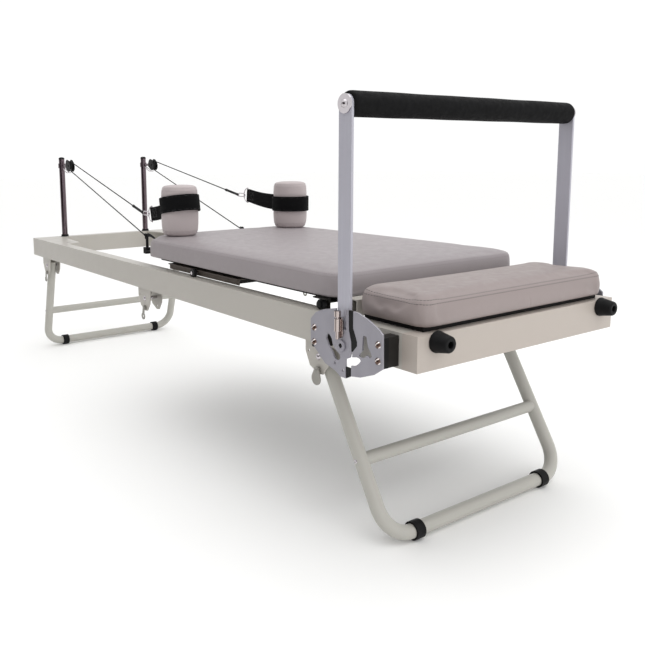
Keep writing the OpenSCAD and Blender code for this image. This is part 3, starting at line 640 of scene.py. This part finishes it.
# ---------------------------------------------------------------- shoulder rests and their straps
REST_PROFILE = [(0.0, 0.0), (0.040, 0.0), (0.047, 0.0015), (0.0525, 0.006), (0.056, 0.016), (0.0578, 0.034),
                (0.0586, 0.06), (0.0588, 0.09), (0.058, 0.118), (0.0566, 0.14), (0.055, 0.1488), (0.0522, 0.1538),
                (0.047, 0.1566), (0.036, 0.1578), (0.018, 0.1583), (0.0, 0.1585)]
STRAP_TILT = {"left": 9.5, "right": 0.0}
BAND_UP = {"left": 0.097, "right": 0.084}
RING_UP = {"left": 0.055, "right": 0.102}
RING_X = {"left": HEAD + 0.910, "right": HEAD + 0.870}
TAB_H = {"left": (0.046, 0.046), "right": (0.056, 0.046)}
band_z, rings = {}, {}
for side, s in SIDES.items():
    lo, hi = corner_box("rest_" + side)
    mid = (lo + hi) / 2
    base = np.array([mid[0], mid[1], lo[2]])
    height = (hi[2] - lo[2]) / 0.158
    rest = lathe("rest_%s_cover" % side, [(r, z * height) for r, z in REST_PROFILE], base)
    swell(rest, 0.0042, 3.0, 0.003, base[2], 0.003)
    band_z[side] = base[2] + BAND_UP[side]
    rings[side] = np.array([RING_X[side], s * (abs(mid[1]) - 0.008), base[2] + RING_UP[side]])
    points = points_of(rest)
    tilt = math.tan(math.radians(STRAP_TILT[side]))
    along = points[:, 0] - base[0]
    off = np.abs(points[:, 2] - band_z[side] - tilt * along)
    squeeze = 1 - 0.03 * np.exp(-(off / 0.027) ** 6)
    points[:, 0] = base[0] + along * squeeze
    points[:, 1] = base[1] + (points[:, 1] - base[1]) * squeeze
    set_points(rest, points)
    for r, z in ((0.0556, 0.1465), (0.0545, 0.0105)):
        ring = [base + np.array([r * math.cos(a), r * math.sin(a), z * height])
                for a in np.linspace(0, 2 * math.pi, 72, endpoint=False)]
        press(rest, ring, 0.0016, 0.0009, True)
    for a in (math.pi / 2, -math.pi / 2):
        line = [base + np.array([r * math.cos(a), r * math.sin(a), z * height]) for r, z in REST_PROFILE[3:12]]
        press(rest, line, 0.0016, 0.0010)
    dress(rest, REST_LEATHER, "carriage", ["rest_" + side])
    rows = []
    for r, z in ((0.0566, 0.1415), (0.0538, 0.1515), (0.0563, 0.0165)):
        rows.append(([base + np.array([r * math.cos(a), r * math.sin(a), z * height])
                      for a in np.linspace(0, 2 * math.pi, 72, endpoint=False)], True))
    sewn = stitches("rest_%s_stitches" % side, surface_of(rest), rows, 0.0035, 0.0025, 0.0003)
    dress(sewn, THREAD, "carriage")


def banded_edges(name, path, up, w, tree_of, body):
    """Two rows of stitches near the edges of a strap."""
    path = np.asarray(path)
    ups = np.broadcast_to(np.asarray(up, float), path.shape)
    rows = [(path + ups * k * (w / 2 - 0.004), False) for k in (-1, 1)]
    dress(stitches(name, surface_of(tree_of), rows, 0.0035, 0.002, 0.0004), BLACK_THREAD, body)


BAND_W = 0.050
for side, s in SIDES.items():
    lo, hi = corner_box("rest_" + side)
    mid = (lo + hi) / 2
    centre = np.array([mid[0], mid[1], band_z[side]])
    ring = rings[side]
    tilt = math.radians(STRAP_TILT[side])
    path, ups = [], []
    for a in np.linspace(math.radians(-172), math.radians(172), 90):
        r = 0.0608 + 0.008 * max(0.0, math.cos(a)) ** 3 + 0.0012 * math.cos(2 * a) ** 2
        flat = np.array([r * math.cos(a), r * math.sin(a), 0])
        path.append(centre + np.array([flat[0], flat[1], flat[0] * math.tan(tilt)]))
        ups.append(unit([-math.sin(tilt), 0, math.cos(tilt)]))
    section = rounded_strip(BAND_W, 0.0026, 0.0011)
    band = section_sweep("strap_%s_band" % side, path, section, np.array(ups), uv_size=2 * BAND_W)
    tidy_mesh(band)
    dress(band, WEBBING, "carriage", ["rest_straps"])
    banded_edges("strap_%s_band_stitches" % side, path, ups[0], BAND_W, band, "carriage")
    # the tab: doubled webbing from the band round the ring's straight side and back
    start = centre + np.array([-0.0612, ring[1] - centre[1], -0.0612 * math.tan(tilt)])
    near, far = [], []
    for k in np.linspace(0, 1, 14):
        p = start * (1 - k) + (ring + np.array([0.004, 0, 0])) * k
        sag = 0.004 * math.sin(math.pi * k)
        near.append(p + np.array([0, 0.0018 + 0.0022 * k ** 6, -sag]))
        if k > 0.12:
            far.append(p + np.array([0, -0.0018 - 0.0022 * k ** 6, -sag]))
    turn = [ring + np.array([0.004 * math.cos(a), 0.004 * math.sin(a), 0])
            for a in np.radians(range(120, 241, 15))]
    tab_path = resample(near + turn + far[::-1], 0.004)
    tab_up = unit(np.cross(np.array([0, 1.0, 0]), start - ring))
    if tab_up[2] < 0:
        tab_up = -tab_up
    h0, h1 = TAB_H[side]
    tall = [1 + (h1 / h0 - 1) * np.clip((start[0] - p[0]) / (start[0] - ring[0]), 0, 1) for p in tab_path]
    tab = section_sweep("strap_%s_tab" % side, tab_path, rounded_strip(h0, 0.0024, 0.001), tab_up, uv_size=2 * h0,
                        tall=tall)
    tidy_mesh(tab)
    dress(tab, WEBBING, "carriage")
    banded_edges("strap_%s_tab_stitches" % side, near, tab_up, h1, tab, "carriage")
    box = []
    for ax, az in ((0.012, -0.014), (0.040, -0.014), (0.040, 0.014), (0.012, 0.014)):
        box.append(ring + unit(start - ring) * ax + tab_up * az)
    rows = [(box, True), ([box[0], box[2]], False), ([box[1], box[3]], False)]
    out = np.array([0, 0.004, 0])
    rows = [(np.asarray(p) + out * k, lp) for p, lp in rows for k in (-1, 1)]
    dress(stitches("strap_%s_box_stitches" % side, surface_of(tab), rows, 0.0032, 0.0018, 0.0005), BLACK_THREAD,
          "carriage")

# ---------------------------------------------------------------- footbar grip
lo, hi = corner_box("footbar_grip")
mid = (lo + hi) / 2
grip_r, half = (hi[2] - lo[2]) / 2, (hi[1] - lo[1]) / 2
grip_line = [(0.0141, -half + 0.001), (grip_r - 0.005, -half), (grip_r - 0.0018, -half + 0.0015),
             (grip_r - 0.0004, -half + 0.005)]
grip_line += [(grip_r + 0.00035 * math.sin(9 * t) * math.sin(31 * t), t)
              for t in np.linspace(-half + 0.01, half - 0.01, 150)]
grip_line += [(r, -y) for r, y in grip_line[3::-1]]
grip = lathe("footbar_grip_foam", grip_line, np.array([mid[0], 0.0, mid[2]]), "Y")
dress(grip, FOAM, "footbar", ["footbar_grip"])

# ---------------------------------------------------------------- ropes
def along(piece, start, end):
    """How far along the way from start to end each point of the piece lies, from 0 to 1."""
    s, e = np.array(start, float), np.array(end, float)
    return np.clip((points_of(piece) - s) @ (e - s) / np.dot(e - s, e - s), 0, 1)


def share_blend(piece, share):
    """Bakes the piece's placement into its points; share is not used."""
    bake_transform(piece)


ROPE_R = 0.002
TRAVEL = 0.600
for side, s in SIDES.items():
    lo, hi = corner_box("pulley_" + side)
    wheel = (lo + hi) / 2
    bend = (hi[2] - lo[2]) / 2 - 0.0028
    link = rings[side] - np.array([0.0688, 0, 0])
    aim = unit(wheel + bend * UP - link)
    up_end = link + 0.0883 * aim
    chi = corner_box("rope_cleats")[1]
    low_end = np.array([HEAD + 0.845 - 0.0105, s * 0.200, chi[2] - 0.0095])

    def leave(p, sign):
        d = (p[0] - wheel[0], p[2] - wheel[2])
        return math.atan2(d[1], d[0]) + sign * math.acos(bend / math.hypot(*d))

    a_up, a_low = leave(up_end, 1), leave(low_end, -1) + 2 * math.pi
    arc = [wheel + bend * np.array([math.cos(a), 0, math.sin(a)]) for a in np.linspace(a_up, a_low, 40)]
    route = np.vstack([resample([up_end, arc[0]], 0.012)[:-1], arc, resample([arc[-1], low_end], 0.012)[1:]])
    rope = tube("rope_%s_braid" % side, route, ROPE_R, 16, up=np.array([0, 1.0, 0]), uv=True)
    rope.data.materials.append(ROPE)
    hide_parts("rope_" + side)
    # near the pulley a share for the upper run is worked out from the room left round the wheel as the carriage comes
    # close;
    # share_blend bakes the rope's placement and does not use the share
    run = resample([arc[0], up_end], 0.004)
    drop = run[:, 2] - wheel[2]
    room = (run[:, 0] - wheel[0] - np.sqrt(np.maximum(bend ** 2 - drop ** 2, 0))) / TRAVEL
    room = np.where(drop > -bend, np.maximum(room, 0), 1)
    at = points_of(rope)
    on_run = np.abs(at[:, 2] - np.interp(at[:, 0], run[:, 0], run[:, 2])) < 0.005
    start, end = (wheel[0] + 0.004, 0, 0), (up_end[0], 0, 0)
    upper = np.minimum(along(rope, start, end), np.interp(at[:, 0], run[:, 0], room))
    share_blend(rope, np.where(on_run, upper, along(rope, start, (low_end[0], 0, 0))))
    # the sleeve with its crimped collars, and the knot at the cleat
    sleeve = [(0.0024, 0.0), (0.0046, 0.001), (0.0052, 0.006), (0.0044, 0.010), (0.0046, 0.04), (0.0044, 0.074),
              (0.0052, 0.078), (0.0048, 0.086), (0.0026, 0.088)]
    made = lathe("rope_%s_sleeve" % side, sleeve, np.zeros(3), "Z", 32)
    made.matrix_world = Matrix.Translation(link) @ Vector(aim).to_track_quat("Z", "Y").to_matrix().to_4x4()
    dress(made, BLACK_PLASTIC, "carriage", ["rope_sleeves"])
    loop = [link + aim * (-0.004) + np.array([0.0045 * math.cos(a) - 0.003, 0, 0.0045 * math.sin(a)])
            for a in np.linspace(0, 2 * math.pi, 24, endpoint=False)]
    made = tube("rope_%s_end_loop" % side, loop, 0.0012, 8, True, np.array([0, 1.0, 0]))
    dress(made, DARK_CHROME, "carriage")
    knot = []
    for t in np.linspace(0, 2 * math.pi, 70, endpoint=False):
        knot.append(low_end + np.array([0.0005 + 0.0075 * (0.5 + 0.5 * math.cos(t)) * 1.1, 0.0052 * math.sin(2 * t),
                                        0.0062 * math.sin(t) + 0.0018 * math.cos(3 * t)]))
    made = tube("rope_%s_knot" % side, knot, 0.0024, 10, True, unit([0.1, 0.3, 1]), True)
    dress(made, ROPE, "carriage")

    if side == "left":
        tail = [low_end + np.array([0.018 + 0.055 * k, 0.001 * math.sin(5 * k), 0.005 - 0.009 * k ** 2])
                for k in np.linspace(0, 1, 12)]
        end = section_sweep("rope_left_tail", tail, rounded_strip(0.013, 0.005, 0.002), uv_size=0.036,
                            tall=np.linspace(1.0, 0.3, 12))
        dress(end, ROPE, "carriage")

# ---------------------------------------------------------------- small parts
for side, s in SIDES.items():
    riser = HEAD + 0.020, s * 0.195
    lo, hi = corner_box("pulley_" + side)
    wheel = (lo + hi) / 2
    bow = [np.array([riser[0] + x, riser[1], wheel[2] + z]) for x, z in
           ((0.012, -0.004), (0.026, -0.011), (0.042, -0.018), (0.060, -0.026), (0.078, -0.030), (0.092, -0.0275))]
    for k, y in enumerate((-0.0055, 0.0055)):
        path = resample([p + np.array([0, y * min(1, 0.3 + 0.3 * i), 0]) for i, p in enumerate(bow)], 0.004)
        bent = tube("pulley_%s_bow_%d" % (side, k + 1), path, 0.0017, 10, up=np.array([0, 1.0, 0]))
        dress(bent, CHROME, "frame")
    lining = rounded_outline([(-0.008, -0.019), (0.008, -0.019), (0.008, 0.019), (-0.008, 0.019)],
                             (0.0075,) * 4, 0.002)
    spot = np.array([HEAD + 0.268, s * 0.266, 0.0])
    made = loft("gusset_%s_slot_lining" % side,
                [[spot + (x, y, z) for x, y in lining] for z in (0.4735, 0.4758)])
    dress(made, BLACK_PLASTIC, "frame")
    lo, hi = corner_box("wheel_foot_" + side)
    hub = [(0.0, 0.0), (0.0085, 0.0), (0.0088, 0.0012), (0.006, 0.0026), (0.0, 0.003)]
    spot = np.array([(lo[0] + hi[0]) / 2, s * 0.3166, (lo[2] + hi[2]) / 2])
    made = lathe("wheel_foot_%s_cap" % side, [(r, s * y) for r, y in hub], spot, "Y", 40)
    dress(made, BLACK_PLASTIC, "carriage")
    for end, x in (("head", 0.076), ("foot", 2.0565)):
        spot = np.array([HEAD + x, s * 0.3155, 0.168])
        dome = [(0.0, 0.0), (0.0052, 0.0), (0.0052, 0.0008), (0.0036, 0.0018), (0.0014, 0.0022), (0.0014, 0.0012),
                (0.0, 0.0012)]
        dome = lathe("%s_legs_%s_screw" % (end, side), [(rad, s * y) for rad, y in dome], spot, "Y", 32)
        dress(dome, CHROME, end + "_legs")
    lo, hi = corner_box("index_discs")
    spot = np.array([(lo[0] + hi[0]) / 2, s * (hi[1] - 0.0019), (lo[2] + hi[2]) / 2])
    made = lathe("pivot_%s_socket_shade" % side, [(0.0, 0.0), (0.0046, 0.0), (0.0046, s * 0.0004), (0.0, s * 0.0004)],
                 spot, "Y", 24)
    dress(made, BLACK_PLASTIC, "footbar")

# ---------------------------------------------------------------- springs
lo, hi = corner_box("springs")
hook_lo = corner_box("spring_hooks")[0]
eye_x = hook_lo[0] + 0.008
WIRE = 0.0011
coil_r = (hi[2] - lo[2]) / 2 - WIRE
spring_z = (lo[2] + hi[2]) / 2
for i, y in enumerate((-0.195, -0.065, 0.065, 0.195)):
    x0, x1 = lo[0] + 0.002, eye_x - 0.017
    turns = 92
    path = [(x0, y, spring_z), (x0 + 0.001, y + coil_r * 0.5, spring_z)]
    for k in range(turns * 10 + 1):
        a = 2 * math.pi * k / 10
        path.append((x0 + 0.003 + (x1 - x0 - 0.003) * k / (turns * 10), y + coil_r * math.cos(a),
                     spring_z + coil_r * math.sin(a)))
    path += [(x1 + 0.002, y + coil_r * 0.4, spring_z + 0.004)]
    for a in np.radians(range(180, -150, -20)):
        path.append((eye_x - 0.004 + 0.0085 * math.cos(a), y + 0.001, spring_z + 0.0085 * math.sin(a)))
    coil = tube("spring_%d" % (i + 1), path, WIRE, 6, up=np.array([1.0, 0.02, 0.01]))
    coil.data.materials.append(SPRING_STEEL)
    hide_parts("springs")
    start, end = (eye_x - 0.012, 0, 0), (x0 + 0.004, 0, 0)
    share_blend(coil, along(coil, start, end))
    sleeve = [(0.0055, 0.0), (0.0075, 0.001), (0.0078, 0.012), (0.0055, 0.013)]
    cap = lathe("spring_%d_anchor" % (i + 1), sleeve, np.array([x0 - 0.0018, y, spring_z]), "X", 32)
    dress(cap, BLACK_PLASTIC, "carriage")

# ---------------------------------------------------------------- finishes of the frame's own parts
FINISH = {
    FRAME_PAINT: "rail_left rail_right head_crossbar spring_bar head_gussets leg_brackets",
    CROSS_PAINT_SHADED: "foot_crossbar",
    LEG_PAINT_LIT: "head_leg_frame foot_leg_frame",
    CHROME: "strap_rings wheel_axles footbar_tube footbar_bolts spring_hooks leg_pivot_bolts",
    DARK_CHROME: "riser_posts", BOLT_STEEL: "plate_bolts",
    WARM_CHROME: "plunger_housings plunger_left plunger_right",
    PLATE: "index_plates_rear index_plates_front index_discs",
    BAR: "footbar_uprights",
    PIN_STEEL: "head_pin_left head_pin_right mid_pin_left mid_pin_right foot_pin_left foot_pin_right",
    BLACK_PLASTIC: "rope_sleeves post_trim pulley_blocks pulley_left pulley_right plate_spacers "
                   "rest_bases rope_cleats",
    # plate_blocks take the black bracket paint as painted shade.
    BLACK_STEEL_AND_SHADE: "wheel_brackets spring_beam plate_blocks", TRUCK_REFLECTION_PAINT: "truck_angles",
    BOARD: "carriage_board platform_board",
    RUBBER: "bumpers head_leg_feet foot_leg_feet",
    WHEEL_PLASTIC: "wheel_head_left wheel_head_right wheel_foot_left wheel_foot_right",
    SPRING_STEEL: "springs", ROPE: "rope_left rope_right", FOAM: "footbar_grip", WEBBING: "rest_straps",
    LEATHER: "carriage_cushion", PAD_LEATHER: "platform_pad", REST_LEATHER: "rest_left rest_right",
}
BEVEL = {"rail_left": 3.0, "rail_right": 3.0, "head_crossbar": 2.2, "foot_crossbar": 2.2, "spring_bar": 2.0,
         "head_gussets": 0.6, "plate_blocks": 1.2, "leg_brackets": 0.6, "index_plates_rear": 0.5,
         "index_plates_front": 0.5, "index_discs": 0.7, "footbar_uprights": 0.8, "plate_spacers": 0.4,
         "post_trim": 0.8, "pulley_blocks": 0.6, "platform_board": 1.2, "carriage_board": 1.2, "bumpers": 1.8,
         "truck_angles": 0.6, "wheel_brackets": 0.5, "spring_beam": 0.6, "rest_bases": 1.0,
         "head_leg_feet": 0.8, "foot_leg_feet": 0.8, "plunger_housings": 0.6, "plunger_left": 0.8,
         "plunger_right": 0.8, "pulley_left": 0.4, "pulley_right": 0.4, "footbar_bolts": 0.6,
         "leg_pivot_bolts": 0.5, "rope_cleats": 0.5, "head_pin_left": 0.5, "head_pin_right": 0.5,
         "mid_pin_left": 0.5, "mid_pin_right": 0.5, "foot_pin_left": 0.5, "foot_pin_right": 0.5,
         "wheel_head_left": 0.6, "wheel_head_right": 0.6, "wheel_foot_left": 0.6, "wheel_foot_right": 0.6}
finish_of = {n: m for m, names in FINISH.items() for n in names.split()}
for n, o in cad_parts.items():
    o.data.materials.clear()
    o.data.materials.append(finish_of[n])
    if n in BEVEL:
        weld = o.modifiers.new("weld", "WELD")
        weld.merge_threshold = 0.00002
        merge = o.modifiers.new("merge", "DECIMATE")
        merge.decimate_type = "DISSOLVE"
        merge.angle_limit = math.radians(0.5)
        bevel = o.modifiers.new("bevel", "BEVEL")
        bevel.width = BEVEL[n] / 1000
        bevel.segments = 3
        bevel.limit_method = "ANGLE"
        bevel.angle_limit = math.radians(38)
        bevel.harden_normals = True
        even = o.modifiers.new("even", "WEIGHTED_NORMAL")
        even.keep_sharp = True

# ---------------------------------------------------------------- studio
def card(name, size, at, aim, material, seen=True):
    w, h = size
    obj = mesh_piece(name, [(-w / 2, -h / 2, 0), (w / 2, -h / 2, 0), (w / 2, h / 2, 0), (-w / 2, h / 2, 0)],
                     [(0, 1, 2, 3)], smooth=False)
    obj.location = at
    obj.rotation_mode = "QUATERNION"
    obj.rotation_quaternion = (Vector(aim) - Vector(at)).to_track_quat("Z", "Y")
    obj.data.materials.append(material)
    obj.visible_camera = seen


floor_look = Surface("studio_floor", paint(253, 253, 252), 0.8, vary=0.006, vary_scale=1.5)
floor_look.relief(floor_look.noise(40, 3), 0.02, 0.001)
card("studio_floor", (60, 60), (0, 0, -0.0006), (0, 0, 5), floor_look.material)
dark_look = Surface("studio_dark_card", paint(52, 40, 44), 0.9, vary=0.1)
card("studio_dark_card_a", (7.0, 3.4), (0.6, -5.6, 1.7), (0, 0, 1.7), dark_look.material, False)
card("studio_dark_card_b", (1.6, 3.0), (-4.4, -3.2, 1.5), (0, 0, 1.5), dark_look.material, False)
card("studio_dark_card_c", (1.5, 1.1), (1.35, -2.1, 0.75), (1.1, 0, 0.5), dark_look.material, False)


def area_light(name, at, aim, size, power, color=(1, 1, 1)):
    light = bpy.data.lights.new(name, "AREA")
    light.shape = "RECTANGLE"
    light.size, light.size_y = size
    light.energy = power
    light.color = color
    obj = bpy.data.objects.new(name, light)
    scene.collection.objects.link(obj)
    obj.location = at
    obj.rotation_mode = "QUATERNION"
    obj.rotation_quaternion = (Vector(aim) - Vector(at)).to_track_quat("-Z", "Y")
    return obj


area_light("top_light", (0.6, 0.3, 3.4), (0.2, 0, 0.4), (4.6, 3.4), 44)
area_light("foot_light", (4.0, -0.4, 1.5), (0.9, 0, 0.5), (1.6, 1.4), 10)
area_light("side_light", (1.9, -3.4, 1.2), (0.8, 0, 0.5), (1.6, 1.0), 8)

world = bpy.data.worlds.new("studio_world")
scene.world = world
world.use_nodes = True
background = world.node_tree.nodes["Background"]
background.inputs["Color"].default_value = (1.0, 1.0, 1.0, 1.0)
background.inputs["Strength"].default_value = 1.02
scene.view_settings.view_transform = "Standard"

# ---------------------------------------------------------------- camera
YAW, PITCH, ROLL = map(math.radians, (145.178, 8.144, -0.499))
ahead = Vector((math.cos(YAW) * math.cos(PITCH), math.sin(YAW) * math.cos(PITCH), -math.sin(PITCH)))
level = Vector((math.sin(YAW), -math.cos(YAW), 0))
above = level.cross(ahead)
cam_x = level * math.cos(ROLL) + above * math.sin(ROLL)
cam_y = above * math.cos(ROLL) - level * math.sin(ROLL)
camera = bpy.data.objects.new("camera", bpy.data.cameras.new("camera"))
scene.collection.objects.link(camera)
turned = Matrix((cam_x, cam_y, -ahead)).transposed().to_4x4()
camera.matrix_world = Matrix.Translation((2.0461, -1.3429, 0.8159)) @ turned
camera.data.sensor_width = 36
camera.data.lens = 41.30
camera.data.shift_x, camera.data.shift_y = 0.0952, -0.0914
camera.data.clip_start, camera.data.clip_end = 0.05, 100
scene.camera = camera
